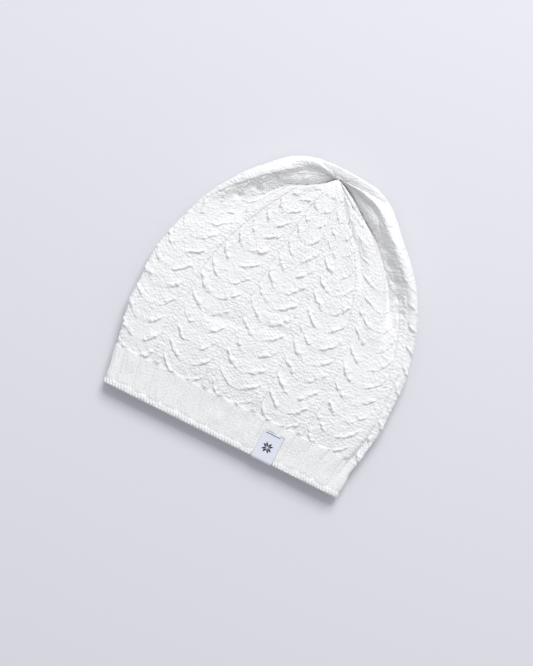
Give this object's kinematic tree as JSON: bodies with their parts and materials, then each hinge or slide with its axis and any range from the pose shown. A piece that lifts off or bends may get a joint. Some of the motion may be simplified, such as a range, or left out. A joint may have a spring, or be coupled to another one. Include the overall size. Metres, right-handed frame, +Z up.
{
  "type": "knit cap",
  "caption": "Slouchy cable-knit cap laid flat: hollow knit crown gathered at the top, ribbed band and a folded woven label at the hem.",
  "frame": {"origin": "middle of the underside, on the surface that the cap lies on", "axes": "+Z up through the flattened cap from its back to its front, +Y from the hem to the crown, +X to the right as the front is seen from above"},
  "size_m": [0.2466, 0.257, 0.0192],
  "materials": {
    "cotton_knit": "matt, warm white, cable-knit cotton yarn",
    "cotton_rib_knit": "matt, warm white, rib-knit cotton yarn",
    "woven_satin": "soft sheen, cool white, woven satin polyester",
    "navy_thread": "matt, dark navy sewing thread"
  },
  "bodies": {
    "root": {"crown": "cotton_knit", "brim_band": "cotton_rib_knit", "label": "woven_satin", "label_stitch": "navy_thread"}
  },
  "joints": []
}
